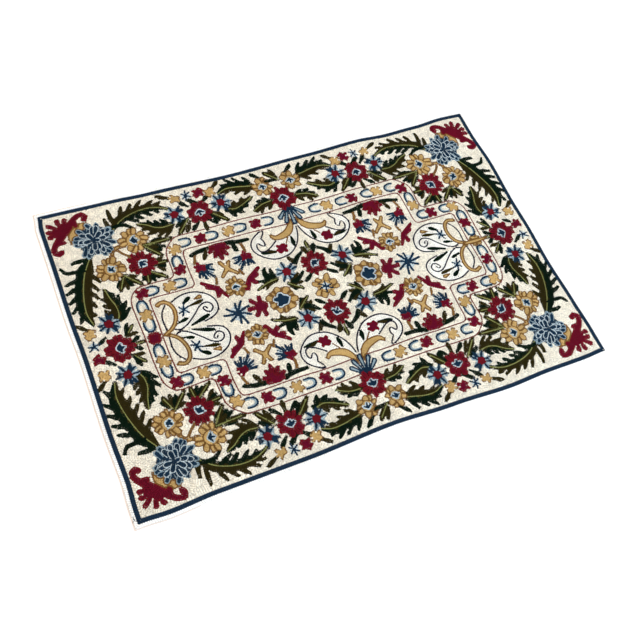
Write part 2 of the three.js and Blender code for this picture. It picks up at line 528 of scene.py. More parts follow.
def corner_group(pen):
    """The flowers and leaves of a corner. The corner lies towards +X and +Y."""
    leaf(
        pen, ((330, 228), (307, 247), (277, 257), (247, 258), (226, 251), (218, 246)),
        ((301, 236), (278, 238), (266, 240), (250, 242), (236, 245)),
        ((335, 257), (323, 274), (297, 275), (279, 275), (260, 277), (241, 271), (228, 264)), body=0.24,
    )
    pen.brush(("green",), ((326, 236), (312, 237), (302, 234), (292, 227)), (3.0, 3.6, 3.4, 2.6))
    leaf(
        pen, ((381, 187), (397, 160), (409, 130), (416, 104), (418, 80), (413, 57)),
        ((413, 184), (434, 144), (437, 127), (439, 108), (439, 89), (432, 67)),
        ((379, 137), (386, 121), (391, 106), (398, 90), (404, 73)), body=0.31,
    )
    pen.brush(("green",), ((397, 166), (412, 166), (427, 168), (434, 178)), (3.6, 3.8, 3.4, 2.6))
    stems = pen.shape(*SAND)
    pen.stroke(((347, 172), (341, 186), (332, 193), (318, 192)), (3.4, 3.6, 3.8, 3.2), stems)
    pen.stroke(((314, 168), (325, 178), (334, 190)), (2.4, 2.4, 2.6), stems)
    pompon_flower(pen.at(363.5, 218.5, 45))
    palmette(pen.at(409.5, 252.5, 45))
    sprig(pen, (337, 135), (
        (354, 115, 3.2, "green"), (337, 105, 3.4, "olive"), (328, 110, 3.8, "green"),
        (317, 126, 3.0, "olive"), (350, 107, 4.2, "olive", True), (312, 107, 4.0, "olive", True),
    ))
    sprig(pen, (297, 132), (
        (307, 115, 3.4, "green"), (289, 108, 3.4, "green"), (281, 111, 3.2, "green"),
        (300, 105, 4.0, "olive", True), (266, 108, 3.8, "olive", True),
    ))
    sprig(pen, (281, 141), (
        (266, 123, 3.4, "olive"), (262, 131, 3.2, "green"),
        (264, 150, 3.4, "olive"), (257, 140, 4.0, "olive", True),
    ))
    sprig(pen, (286, 185), (
        (274, 164, 3.4, "green"), (250, 171, 3.6, "green"), (258, 166, 4.0, "green"),
        (262, 173, 3.6, "olive"), (250, 190, 3.4, "green"), (261, 155, 4.2, "olive", True),
        (232, 183, 4.4, "olive", True),
    ))
    red_flower(pen.at(299.5, 148.5, -135), 27.5, 13)
    sand_flower(pen.at(298.5, 200.5, 180), 27.0, 11, 0.3, 1.1)
    sand_flower(pen.at(353.5, 153.5, 150), 25.5, 13, 0.3, 1.25)


def side_group(pen):
    """The flowers and leaves of one half of a long side, outward towards +Y."""
    for spine, left, right, body in (
        (
            ((219, 211), (237, 210), (252, 215), (266, 225), (282, 232)),
            ((237, 226), (248, 229), (260, 231)),
            ((227, 203), (238, 190), (250, 195), (267, 204), (275, 217)), 0.3,
        ),
        (
            ((111, 211), (97, 208), (82, 213), (68, 220), (57, 226)),
            ((117, 208), (103, 191), (86, 196), (73, 208)), ((94, 224), (78, 228), (62, 226)), 0.3,
        ),
        (
            ((43, 248), (62, 252), (82, 256), (102, 256), (119, 249)),
            ((59, 273), (78, 275), (95, 277), (106, 267)), ((55, 243), (69, 234), (85, 240), (101, 247)), 0.3,
        ),
        (
            ((26, 206), (47, 203), (69, 192)),
            ((40, 214), (53, 212), (62, 202)), ((37, 189), (53, 187), (62, 190)), 0.27,
        ),
    ):
        leaf(pen, spine, left, right, body)
    for x0, y0, x1, y1, wool in (
        (180, 240, 194, 255, "green"), (161, 243, 178, 255, "green"), (152, 241, 141, 252, "green"),
        (207, 267, 229, 278, "olive"), (127, 265, 111, 277, "olive"), (163, 202, 163, 181, "olive"),
        (186, 208, 198, 188, "olive"), (192, 215, 213, 204, "green"), (172, 201, 187, 188, "green"),
        (154, 201, 141, 190, "green"), (148, 212, 136, 194, "green"), (142, 216, 126, 203, "olive"),
        (26, 261, 41, 274, "green"),
    ):
        lobe(pen, (x0, y0), (x1, y1), 3.7, wool)
    lobe(pen, (188, 215), (214, 186), 4.6, "olive", True)
    lobe(pen, (144, 214), (120, 189), 4.4, "olive", True)
    red_flower(pen.at(163.5, 221.5, -90), 26.0, 9)
    spoke_flower(pen.at(209.5, 230.5, 8), 21.0, 8)
    spoke_flower(pen.at(119.5, 229.5, 20), 21.0, 9)
    sand_rosette(pen.at(200.5, 264.5, 18), 12.0, 5)
    blue_star(pen.at(177.5, 265.5), 11.0, 6)
    small_flower(pen.at(154.5, 264.5, 12), 12.5, 6)
    sand_rosette(pen.at(132.5, 258.5, 5), 12.5, 6)
    sand_flower(pen.at(28.5, 240.0, -90), 21.5, 9, 0.34, 1.05)


def long_side_middle(pen):
    """The red flower and its fan of slim petals at the middle of a long side."""
    for angle, length in ((46, 34), (-46, 34), (24, 37), (-24, 37), (0, 40)):
        petal = pen.shape("navy", "steel", 2.7)
        root = np.array([0.0, 188.0]) + direction(angle - 90, 6)
        tip = np.array([0.0, 188.0]) + direction(angle - 90, length - 1)
        finger(pen, root, tip, 2.6, petal, 4.9)
    sprig(pen, (8, 247), (
        (-18, 250, 3.2, "green"), (-2, 272, 4.0, "olive"), (-15, 270, 4.6, "olive", True),
    ))
    red_flower(pen.at(-0.5, 205.0, -90), 27.0, 12)


def short_side(pen, swapped):
    """The flowers and leaves at the middle of a short side, outward towards +X."""
    for flip in (-1, 1):
        half = pen.mirrored(1, flip)
        leaf(
            half, ((371, 52), (366, 64), (366, 80), (372, 99), (376, 120)),
            ((354, 58), (346, 68), (347, 84), (357, 99), (365, 107)),
            ((384, 66), (387, 77), (387, 88), (385, 101)), body=0.3,
        )
        lobe(half, (402, 27), (416, 18), 3.4, "green")
        lobe(half, (424, 48), (440, 62), 3.6, "olive")
        sprig(half, (370, 18), (
            (351, 37, 3.0, "olive", True), (361, 41, 3.6, "green"), (349, 21, 3.0, "olive"),
        ))
        lobe(half, (364, 4), (350, 12), 3.4, "green")
        spoke_flower(half.at(388.5, 50.5, 12), 21.0, 9)
        sand_rosette(half.at(425.5, 40.5, 10), 12.5, 6)
    lobe(pen, (362, 0), (343, 0), 3.2, "olive", True)
    red_flower(pen.at(386.0, 0.0, 180), 28.0, 11)
    flip = -1 if swapped else 1
    blue_star(pen.at(426.5, 16.5 * flip, 20), 11.0, 5)
    small_flower(pen.at(425.5, -10.0 * flip, 30), 12.5, 5)


def cartouche(pen):
    """The scroll beside the middle of a long side, with its horn, flower and leaves."""
    outline = (
        (2, 140), (5, 127), (12, 111), (22, 98), (36, 87), (53, 82.5), (70, 83.5), (86, 93), (97, 106),
        (100, 118), (96, 130), (87, 139), (74, 146), (68, 144), (77, 131),
    )
    curl = (
        (77, 131), (74, 126), (74, 118), (78, 115), (82, 119),
        (85, 123.5), (89, 121), (90, 112), (87, 105.5),
    )
    back = ((80, 103.5), (69, 107.5), (52, 120))
    body = pen.shape("white")
    pen.area((*outline[:-2], (78, 133), *curl[1:], *back, (38, 129), (22, 135), (11, 146)), body)
    lobe(pen, (60, 96), (86, 101), 2.8, "green")
    lobe(pen, (60, 97), (76, 103), 3.0, "olive")
    lobe(pen, (21, 121), (23, 103), 3.6, "green")
    pen.line(((36, 110), (25, 125)), "brown")
    small_flower(pen.at(48, 101.5, 20), 13.0, 6)
    for way in (outline, curl, (curl[-1], *back)):
        pen.line(way, "ink", INK)
    horn = pen.shape(*SAND)
    way = ((9, 160), (11, 146), (22, 133), (38, 127), (50, 126.5), (56, 132))
    pen.stroke(way, (3.2, 6.0, 7.8, 7.0, 5.0, 3.8), horn)


def heart_scroll(pen):
    """The scroll at a short side's middle, one half of a heart that opens towards the centre."""
    outer = ((277, 56), (260, 64), (243, 66), (226, 62), (210, 51), (202, 36), (203, 21), (213, 11), (233, 5))
    inner = ((287, 5), (277, 2), (263, 8), (247, 22), (234, 35), (222, 39.5), (213, 35), (211, 26), (217, 20))
    curl = ((217, 20), (224, 22), (229, 30), (224, 32), (221, 27))
    body = pen.shape("white")
    pen.area((*outer, (247, 4), (270, 3), (285, 8), (278, 30)), body)
    for way in (outer, inner, curl, ((300, 6), (301, 28), (297, 42), (288, 54))):
        pen.line(way, "ink", INK)
    lobe(pen, (259, 48), (245, 57), 3.6, "green")
    lobe(pen, (249, 41), (225, 45), 3.0, "olive")
    lobe(pen, (278, 14), (260, 19), 2.8, "green")
    lobe(pen, (257, 4), (223, 15), 3.4, "green")
    pen.brush(SAND, ((238, 51), (227, 53)), (1.6, 4.6))
    blue_star(pen.at(261.5, 36.0, 10), 11.5, 6)
    band = pen.shape(*SAND)
    way = ((304, 0), (288, 9.5), (279, 24), (276.5, 40), (281, 54), (291, 60.5), (301, 57.5))
    pen.stroke(way, (3.6, 3.9, 4.0, 4.0, 4.0, 4.0, 4.2), band)


def field_corner(pen):
    """The carnation, half flowers and red branches in one corner of the field."""
    for way in (((178, 141), (196, 139), (212, 135)), ((140, 143), (120, 139), (100, 138))):
        pen.brush(("green",), way, (4.4, 4.2, 3.6))
    lobe(pen, (180, 140), (190, 121), 3.8, "olive")
    lobe(pen, (131, 141), (127, 122), 4.2, "green")
    carnation = pen.brush(("red", "wine"), ((145, 141.5), (157.5, 138), (171, 141.5)), (4.4, 10, 4.4))
    for angle, length in ((-90, 27), (-122, 23), (-58, 23), (-160, 21), (-20, 21)):
        root = np.array([157.5, 139.0])
        petal(pen, root, root + direction(angle, length - 2), 5.0, carnation, 0.9, 0.75)
        crease = (root + direction(angle + 14, 8), root + direction(angle + 16, length - 7))
        pen.line(crease, "maroon", CREASE)
    for middle, root, tips in (
        ((204, 107), (194, 98), ((212, 87), (200, 81), (185, 81), (180, 95), (179, 108))),
        ((115.5, 107), (127, 102), ((139, 109), (140, 97), (134, 83), (118, 87), (106, 87))),
    ):
        pen.brush(("pale",), (root,), (11.0,))
        for tip in tips:
            start = 0.7 * np.array(middle) + 0.3 * np.array(tip)
            petal(pen, start, tip, 2.5, pen.shape("navy"), 0.75, 0.85)
        for one, other in zip(tips, tips[1:]):
            between = 0.46 * np.add(one, other) + 0.08 * np.array(middle)
            pen.line((0.5 * (np.array(middle) + between), between), "navy", 2.3)
        small_flower(pen.at(*middle, 20), 12.0, 5)
    stems = pen.shape("brown")
    pen.stroke(((210, 118), (205, 132)), (2.4, 2.4), stems)
    pen.stroke(((113, 118), (116, 133)), (3.0, 2.4), stems)
    pen.stroke(((188, 68), (184, 80)), (2.2, 2.0), stems)
    pen.stroke(((134, 71), (138, 84)), (2.2, 2.0), stems)
    cross = pen.shape(*SAND)
    for tip in ((172, 77.5), (143.5, 78.5), (165.5, 106.5), (150.5, 104.5)):
        finger(pen, (157.5, 92), tip, 4.6, cross, 3.8)
    for middle, tips in (
        ((190, 58), ((178, 37, 2.6), (194, 43, 4.2), (206, 65, 5.0), (214, 76, 3.4))),
        ((127, 61), ((138, 43, 5.4), (119, 50, 4.8), (111, 64, 4.0), (104, 77, 3.6))),
    ):
        branch = pen.shape("red", "wine")
        for x, y, radius in tips:
            pen.stroke((middle, (x, y)), (5.0, radius), branch)
    sand_flower(pen.at(157.5, 51.5, -90), 21.0, 12, 0.33)


def field_quarter(pen):
    """The leaves and flowers of the middle field, in one quarter."""
    spoke_flower(pen.at(57, 51, 15), 23.0, 8, 1.9)
    for wool, points, radii in (
        ("green", ((80, 44), (88, 50), (96, 56), (97, 65), (94, 72)), (5.0, 6.6, 6.0, 4.0, 2.4)),
        ("green", ((84, 47), (85, 64)), (5.4, 3.6)),
        ("green", ((92, 44), (112, 49)), (5.0, 2.6)),
        ("olive", ((80, 41), (97, 37), (104, 29)), (3.0, 3.8, 1.8)),
        ("olive", ((79, 43), (100, 40), (121, 33)), (3.4, 3.8, 2.6)),
        ("olive", ((59, 27), (50, 28), (40, 41)), (5.0, 7.0, 2.8)),
        ("olive", ((54, 27), (39, 22)), (5.4, 3.0)),
        ("green", ((52, 27), (42, 30), (29, 41)), (5.0, 4.4, 2.8)),
        ("green", ((62, 27), (54, 11)), (3.0, 3.2)),
        ("olive", ((63, 28), (51, 17), (40, 9)), (2.8, 4.2, 2.8)),
        ("olive", ((44, 77), (35, 65)), (3.8, 4.6)),
        ("green", ((35, 65), (29, 74), (18, 82)), (4.6, 4.4, 3.2)),
    ):
        pen.brush((wool,), points, radii)
    pen.line(((79, 43.5), (100, 41), (119, 34)), "lime", VEIN)
    pen.line(((63, 28.5), (51, 18), (41, 10)), "lime", VEIN)
    lobe(pen, (12, 35), (30, 21), 3.6, "green")
    lobe(pen, (5, 76), (12, 92), 4.4, "green")
    lobe(pen, (-6, 76), (-12, 92), 4.2, "olive")


def field_middle(pen):
    """The flowers along the two middle lines of the field."""
    for flip in (-1, 1):
        half = pen.mirrored(1, flip)
        lobe(half, (0, 80), (-1, 103), 3.6, "olive", True)
        red_flower(half.at(-1.0, 53.5, -60), 26.5, 14)
        side = pen.mirrored(flip, 1)
        blue_star(side.at(172.5, 0.0, 0), 24.0, 9, 4.6)
        fan = pen.shape("red", "wine")
        side.stroke(((124, 0), (132, 0)), (9.0, 8.0), fan)
        for angle, length in ((0, 25), (48, 24), (-48, 24), (98, 21), (-98, 21)):
            root = np.array([128.0, 0.0])
            finger(side, root, root + direction(angle, length - 3), 3.8, fan, 4.6)
        scalloped_flower(side.at(86.5, 0.0))
    sand_flower(pen.at(-1.0, 0.0, 0), 26.0, 8, 0.2, 0.85)
    pen.brush(("mustard", "pale"), ((-1, 0),), (11.0,))
    blue_star(pen.at(-1.0, 0.0, 45), 12.0, 6, 2.8)


def draw_design():
    """The whole design, quarter by quarter, as it lies on the cloth."""
    drawing = Drawing()
    middle = Pen(drawing)
    for flip_x in (-1, 1):
        for flip_y in (-1, 1):
            quarter = middle.mirrored(flip_x, flip_y)
            guard_lines(quarter)
            inner_border(quarter, flip_x > 0)
            side_group(quarter)
            corner_group(quarter)
            cartouche(quarter)
            heart_scroll(quarter)
            field_quarter(quarter)
            field_corner(quarter)
        short_side(middle.mirrored(flip_x, 1), flip_x > 0)
    middle.brush(SAND, ((302, 0), (325, -1), (350, 0)), (4.0, 4.4, 2.4))
    field_middle(middle)
    for flip_y in (-1, 1):
        long_side_middle(middle.mirrored(1, flip_y))
    thread_end = ((447, 286), (450.5, 289), (454, 287), (455, 281.5))
    middle.mirrored(-1, -1).line(thread_end, "navy", THREAD)
    return drawing


# The stitches and the coils of the plain ground, in millimetres.
STITCH = 3.7
GROUND_STITCH = 4.1
GROUND_ROW = 2.55
COIL = 25.0

# The deepest that any shape is measured, and the shortest closed row, in millimetres.
REACH = 14.0
SMALLEST_RING = 4.5

# Extra stitches for bare gaps: how often the gaps are looked for, and the block that takes one extra
# stitch at most, in millimetres. Their size beside a usual stitch. How bare a gap is, from 0 to 1, before
# it gets one, and how much less a gap in the plain ground counts. How many half widths from the middle
# of a stitch a gap may lie.
GAP_ROUNDS = 4
GAP_BLOCK = 2.0
EXTRA_LENGTH = 0.72
EXTRA_WIDTH = 0.8
BARE_ENOUGH = 0.3
GROUND_GAP = 0.6
GAP_REACH = 1.8

SEED = 11


def part_ground(drawing):
    """Parts the plain ground into the small round coils that it is filled with."""
    random = np.random.default_rng(SEED)
    columns = int(LENGTH / COIL) + 4
    lines = int(WIDTH / COIL) + 4
    places = np.stack(np.meshgrid(np.arange(columns), np.arange(lines)), axis=-1) + 0.5
    places[::2, :, 0] += 0.5
    places = (places + random.uniform(-0.3, 0.3, places.shape) - 2.0) * COIL
    places -= (LENGTH / 2, WIDTH / 2)
    down, across = np.nonzero(drawing.owner == GROUND)
    x, y = drawing.xs[across], drawing.ys[down]
    column = np.floor((x + LENGTH / 2) / COIL).astype(int) + 2
    line = np.floor((y + WIDTH / 2) / COIL).astype(int) + 2
    best = np.full(len(x), 1e9)
    coil = np.zeros(len(x), np.int32)
    for up in (-1, 0, 1):
        for side in (-2, -1, 0, 1):
            near_line = np.clip(line + up, 0, lines - 1)
            near_column = np.clip(column + side, 0, columns - 1)
            seed = places[near_line, near_column]
            away = (x - seed[:, 0]) ** 2 + (y - seed[:, 1]) ** 2
            closer = away < best
            best[closer] = away[closer]
            coil[closer] = (near_line * columns + near_column)[closer]
    first = len(drawing.edge_wool)
    for _ in range(columns * lines):
        drawing.new_shape("cream")
    drawing.owner[down, across] = first + coil
    return first


def distance_to_rim(changes):
    """How far each cell lies from the nearest marked cell, in millimetres."""
    cells = int(REACH / CELL)
    column = np.arange(changes.shape[1], dtype=np.float32)
    before = np.maximum.accumulate(np.where(changes, column, np.float32(-9999)), axis=1)
    after = np.minimum.accumulate(np.where(changes, column, np.float32(9999))[:, ::-1], axis=1)[:, ::-1]
    along = np.minimum(column - before, after - column) ** 2
    nearest = along.copy()
    for step in range(1, cells):
        gap = np.float32(step * step)
        np.minimum(nearest[step:], along[:-step] + gap, out=nearest[step:])
        np.minimum(nearest[:-step], along[step:] + gap, out=nearest[:-step])
    return np.minimum(np.sqrt(nearest) + 0.5, cells) * CELL


def soften(field):
    """The field blurred over its next cells."""
    padded = np.pad(field, 1, mode="edge")
    across = padded[:, :-2] + 2 * padded[:, 1:-1] + padded[:, 2:]
    return (across[:-2] + 2 * across[1:-1] + across[2:]) / 16


def row_pattern(drawing, first_coil):
    """How deep each cell lies in its shape, in stitch rows that fit it, and each cell's row width."""
    owner = drawing.owner
    padded = np.pad(owner, 1, mode="edge")
    changes = (padded[1:-1, 2:] != owner) | (padded[1:-1, :-2] != owner)
    changes |= (padded[2:, 1:-1] != owner) | (padded[:-2, 1:-1] != owner)
    depth = distance_to_rim(changes)
    deepest = np.zeros(len(drawing.edge_wool), np.float32)
    np.maximum.at(deepest, owner.ravel(), depth.ravel())
    rim = np.array(drawing.rim)
    usual = np.where(np.arange(len(rim)) < first_coil, ROW, GROUND_ROW)
    core = deepest - rim
    plain = (rim == 0) | (core < 0.4 * ROW)
    core = np.where(plain, deepest, core)
    pitch = np.clip(core / np.maximum(1, np.round(core / usual)), 0.45 * ROW, 1.25 * usual)
    rim = np.where(plain, pitch, rim)[owner]
    pitch = pitch[owner]
    depth = soften(soften(depth))
    outer = depth < rim
    rows = np.where(outer, depth / rim, 1.0 + (depth - rim) / pitch)
    return rows, np.where(outer, rim, pitch)


def contour_links(wave):
    """Where the wave crosses zero: the points, and the pairs of them that each grid square joins."""
    high, wide = wave.shape
    positive = wave > 0
    flat = positive[:, 1:] != positive[:, :-1]
    tall = positive[1:] != positive[:-1]
    number = np.arange(high * wide, dtype=np.int64).reshape(high, wide)
    sides = (
        (flat[:-1], number[:-1, :-1]),
        (tall[:, 1:], number[:-1, 1:] + high * wide),
        (flat[1:], number[1:, :-1]),
        (tall[:, :-1], number[:-1, :-1] + high * wide),
    )
    count = sum(crossed.astype(np.int8) for crossed, _ in sides)
    links = []
    pairs = [(2, one, other) for one in range(4) for other in range(one + 1, 4)]
    for crossings, one, other in (*pairs, (4, 0, 3), (4, 1, 2)):
        both = (count == crossings) & sides[one][0] & sides[other][0]
        links.append(np.stack([sides[one][1][both], sides[other][1][both]], axis=1))
    return np.concatenate(links)


def contour_points(wave, drawing, edges):
    """The place on the cloth of each crossed grid edge."""
    high, wide = wave.shape
    upright = edges >= high * wide
    corner = edges - upright * high * wide
    row, column = np.divmod(corner, wide)
    here = wave[row, column]
    there = wave[row + upright, column + ~upright]
    share = here / (here - there)
    x = drawing.xs[0] + CELL * (column + share * ~upright)
    y = drawing.ys[0] + CELL * (row + share * upright)
    return np.stack([x, y], axis=1)


def contour_lines(wave, drawing):
    """The zero lines of the wave, each as a row of points and whether it closes on itself."""
    links = contour_links(wave)
    edges, ends = np.unique(links, return_inverse=True)
    ends = ends.reshape(links.shape)
    points = contour_points(wave, drawing, edges)
    beside = np.full((len(edges), 2), -1)
    order = np.argsort(ends.T.ravel(), kind="stable")
    owner = ends.T.ravel()[order]
    partner = ends[:, ::-1].T.ravel()[order]
    second = np.zeros(len(owner), int)
    second[1:] = owner[1:] == owner[:-1]
    beside[owner, second] = partner
    near = beside.tolist()
    seen = bytearray(len(edges))
    starts = np.concatenate([np.nonzero(beside[:, 1] < 0)[0], np.arange(len(edges))])
    lines = []
    for start in starts.tolist():
        if seen[start]:
            continue
        way = [start]
        seen[start] = 1
        here = start
        while True:
            one, other = near[here]
            if one >= 0 and not seen[one]:
                here = one
            elif other >= 0 and not seen[other]:
                here = other
            else:
                break
            seen[here] = 1
            way.append(here)
        closed = len(way) > 3 and start in near[here]
        lines.append((points[way], closed))
    return lines


def calm(points, closed):
    """A line with its grid steps smoothed away."""
    if len(points) < 7:
        return points
    for _ in range(3):
        if closed:
            around = np.concatenate([points[-1:], points, points[:1]])
            points = (around[:-2] + around[1:-1] + around[2:]) / 3
        else:
            inner = (points[:-2] + points[1:-1] + points[2:]) / 3
            points = np.concatenate([points[:1], inner, points[-1:]])
    return points


def even_steps(points, closed, step):
    """Points along a line that part it into equal steps of about the given length."""
    if closed:
        points = np.concatenate([points, points[:1]])
    spans = np.linalg.norm(np.diff(points, axis=0), axis=1)
    reach = np.concatenate([[0.0], np.cumsum(spans)])
    count = int(round(reach[-1] / step))
    if closed and reach[-1] > SMALLEST_RING:
        count = max(count, 3)
    if count < (3 if closed else 1):
        return None
    marks = np.linspace(0.0, reach[-1], count + 1)
    return np.stack([np.interp(marks, reach, points[:, k]) for k in (0, 1)], axis=1)


class Stitches:
    """All stitches of the worked face, in batches."""

    def __init__(self):
        self.batches = []

    def add(self, start, end, width, shape, wool):
        """Adds stitches from their starts to their ends, with one width, shape and wool or one each."""
        looks = [np.broadcast_to(look, len(start)) for look in (width, shape, wool)]
        self.batches.append((start, end, *looks))

    def columns(self):
        """The starts, ends, widths, shapes and wools of all stitches so far."""
        return [np.concatenate(column) for column in zip(*self.batches)]


def cell_of(drawing, points):
    """The grid row and column under each point."""
    column = np.round((points[:, 0] - drawing.xs[0]) / CELL).astype(int)
    row = np.round((points[:, 1] - drawing.ys[0]) / CELL).astype(int)
    return np.clip(row, 0, len(drawing.ys) - 1), np.clip(column, 0, len(drawing.xs) - 1)


def wool_at(drawing, depth, row, column):
    """The wool of cells: their shape's edge wool in its outer row, and its fill wool inside."""
    shape = drawing.owner[row, column]
    outer = depth[row, column] < 1.0
    return np.where(outer, np.array(drawing.edge_wool)[shape], np.array(drawing.fill_wool)[shape])


def lay_rows(drawing, first_coil):
    """Stitches in rows that follow each shape's outline, ring inside ring."""
    owner = drawing.owner
    depth, pitch = row_pattern(drawing, first_coil)
    single = np.zeros(len(drawing.edge_wool), bool)
    single[[shape for _, shape, _ in drawing.lines]] = True
    bare = (owner == OUTSIDE) | (owner == HEM) | single[owner]
    stitches = Stitches()
    rows = []
    for line, closed in contour_lines(np.cos(np.pi * depth), drawing):
        row, column = cell_of(drawing, line[len(line) // 2:][:1])
        step = STITCH if owner[row[0], column[0]] < first_coil else GROUND_STITCH
        knots = even_steps(calm(line, closed), closed, step)
        if knots is not None:
            rows.append(np.stack([knots[:-1], knots[1:]], axis=1))
    rows = np.concatenate(rows)
    row, column = cell_of(drawing, rows.mean(axis=1))
    kept = ~bare[row, column]
    rows, row, column = rows[kept], row[kept], column[kept]
    wool = wool_at(drawing, depth, row, column)
    stitches.add(rows[:, 0], rows[:, 1], pitch[row, column], owner[row, column], wool)
    for way, shape, width in drawing.lines:
        knots = even_steps(way, False, STITCH)
        if knots is None:
            continue
        kept = owner[cell_of(drawing, (knots[:-1] + knots[1:]) / 2)] == shape
        stitches.add(knots[:-1][kept], knots[1:][kept], width, shape, drawing.edge_wool[shape])
    return stitches, depth


def stamp(drawing, stitches, grow):
    """The number of the stitch that covers each cell, or -1. The stitches are drawn wider by a factor."""
    start, end, width, _, _ = stitches.columns()
    middle = (start + end) / 2
    way = (end - start) / 2
    length = np.maximum(np.linalg.norm(way, axis=1), 0.3)
    way = way / length[:, None]
    row, column = cell_of(drawing, middle)
    cover = np.full(drawing.owner.shape, -1, np.int32)
    reach = int(math.ceil((STITCH / 2 + ROW * grow) / CELL))
    number = np.arange(len(start), dtype=np.int32)
    for up in range(-reach, reach + 1):
        for side in range(-reach, reach + 1):
            y, x = row + up, column + side
            dx = drawing.xs[0] + x * CELL - middle[:, 0]
            dy = drawing.ys[0] + y * CELL - middle[:, 1]
            along = dx * way[:, 0] + dy * way[:, 1]
            across = dy * way[:, 0] - dx * way[:, 1]
            over = np.maximum(np.abs(along) - length, 0.0)
            inside = over**2 + across**2 < (grow * width / 2) ** 2
            inside &= (y >= 0) & (x >= 0) & (y < cover.shape[0]) & (x < cover.shape[1])
            cover[y[inside], x[inside]] = number[inside]
    return cover


def fill_gaps(drawing, stitches, depth, first_coil):
    """Extra stitches where the rows leave a shape bare."""
    worked = drawing.owner > HEM
    ground = drawing.owner >= first_coil
    block = int(round(GAP_BLOCK / CELL))
    high = drawing.owner.shape[0] // block * block
    wide = drawing.owner.shape[1] // block * block
    for turn in range(GAP_ROUNDS):
        near = stamp(drawing, stitches, GAP_REACH)
        cover = stamp(drawing, stitches, 1.0)
        bare = worked & (cover < 0) & (near >= 0)
        hole = bare.astype(np.float32)
        for _ in range(3):
            hole = soften(hole)
        hole[~bare] = 0
        hole[ground] *= GROUND_GAP
        shift = (turn * block // 2) % block
        blocks = hole[shift:high - block + shift, shift:wide - block + shift]
        lines, places = blocks.shape[0] // block, blocks.shape[1] // block
        blocks = blocks.reshape(lines, block, places, block).transpose(0, 2, 1, 3).reshape(lines, places, -1)
        best = blocks.argmax(axis=2)
        value = blocks.max(axis=2)
        padded = np.pad(value, 1)
        around = np.max([padded[a:a + lines, b:b + places] for a in range(3) for b in range(3)], axis=0)
        take = (value > BARE_ENOUGH) & (value >= around)
        line, place = np.nonzero(take)
        inner_row, inner_column = np.divmod(best[take], block)
        row = shift + line * block + inner_row
        column = shift + place * block + inner_column
        start, end, _, _, _ = stitches.columns()
        way = (end - start)[near[row, column]]
        way /= np.maximum(np.linalg.norm(way, axis=1), 0.1)[:, None]
        middle = np.stack([drawing.xs[column], drawing.ys[row]], axis=1)
        half = EXTRA_LENGTH / 2 * STITCH
        shape = drawing.owner[row, column]
        wool = wool_at(drawing, depth, row, column)
        stitches.add(middle - half * way, middle + half * way, EXTRA_WIDTH * ROW, shape, wool)


def draw_stitches(drawing):
    """The stitches of the whole design, and the row depth of each cell."""
    first_coil = part_ground(drawing)
    stitches, depth = lay_rows(drawing, first_coil)
    fill_gaps(drawing, stitches, depth, first_coil)
    return stitches, depth


# The cloth's thickness, in millimetres: at its rim, on the hem, and under the stitches.
RIM_TOP = 1.2
HEM_TOP = 1.9
GROUND_TOP = 2.2

# The width of the rounded rim, which is also that of the step at the hem, in millimetres.
STEP_WIDTH = 1.6

# The cockle's height, the lengths of its waves, and how far in from the hem it grows, in millimetres.
COCKLE_HEIGHT = 0.45
COCKLE_LENGTH_X = 210.0
COCKLE_LENGTH_Y = 165.0
COCKLE_FADE = 26.0

# The cloth's mesh: its squares along and across, how they crowd at the rim, and its sharpest soft edge.
SQUARES_ALONG = 230
SQUARES_ACROSS = 153
CROWDING = 1.1
SOFT_EDGE = math.radians(50.0)

# The stitches' height and how far they lie above the cotton's top, in millimetres, and how far their
# sides swell past the row's half width. Then how uneven their height is, and how far their tops lean.
STITCH_HEIGHT = 1.25
STITCH_LIFT = 0.12
SWELL = 1.22
HEIGHT_SPREAD = 0.06
LEAN_SPREAD = 0.08

# The strips that the stitches are joined in, and the blocks and the margin of their flat maps.
STRIPS = 6
BAKE_BLOCKS = 3
BAKE_MARGIN = 6.0

# The photograph's viewpoint, in millimetres: where the camera is, its axes, and its lens.
CAMERA_PLACE = (-523.25, -615.27, 1330.8)
CAMERA_RIGHT = (0.90343, -0.39618, 0.16388)
CAMERA_UP = (0.28655, 0.84230, 0.45653)
CAMERA_WAY = (0.31890, 0.36548, -0.87449)
CAMERA_LENS = 47.694
SENSOR = 36.0

# The room's light, and the floor's size and how far it lies below the cloth, in metres.
SKY = {"Color": (0.96, 0.975, 1.0, 1.0), "Strength": 1.22}
FLOOR_SIZE = 12.0
FLOOR_DROP = 0.0005

# The bare cotton's colour as seen, in sRGB from 0 to 255.
COTTON = (252, 249, 243)

# The tan line on the far left edge: its colour, its width, and where it ends along the cloth.
SELVEDGE = (206, 158, 124)
SELVEDGE_WIDTH = 0.3
SELVEDGE_END = -352.2

# The wool's fluff on the cotton, darker than its wool as painted shade in the gaps between stitches: how
# bright it is beside its wool, and how far it reaches.
FLUFF_SHADE = 0.7
FLUFF_SHADE_REACH = 1.8

# How uneven the dye is: from shape to shape, from stitch to stitch, and in slow waves over the cloth.
LOT_SPREAD = 0.045
STITCH_SPREAD = 0.05
SLOW_SPREAD = 0.03


def cockle(x, y):
    """The slight rise and fall that hand tension leaves in the worked cloth, in millimetres."""
    long = np.sin(2 * math.pi * (x + 0.35 * y) / COCKLE_LENGTH_X)
    cross = np.sin(2 * math.pi * (y - 0.2 * x) / COCKLE_LENGTH_Y)
    inward = inward_distance(x, y)
    return COCKLE_HEIGHT * soft_step(HEM_WIDTH, HEM_WIDTH + COCKLE_FADE, inward) * long * cross


def cloth_top(x, y):
    """The height of the cotton ground, in millimetres."""
    inward = inward_distance(x, y)
    rim = RIM_TOP + (HEM_TOP - RIM_TOP) * soft_step(0.0, STEP_WIDTH, inward)
    step = (GROUND_TOP - HEM_TOP) * soft_step(HEM_WIDTH - STEP_WIDTH, HEM_WIDTH, inward)
    return rim + step + cockle(x, y)


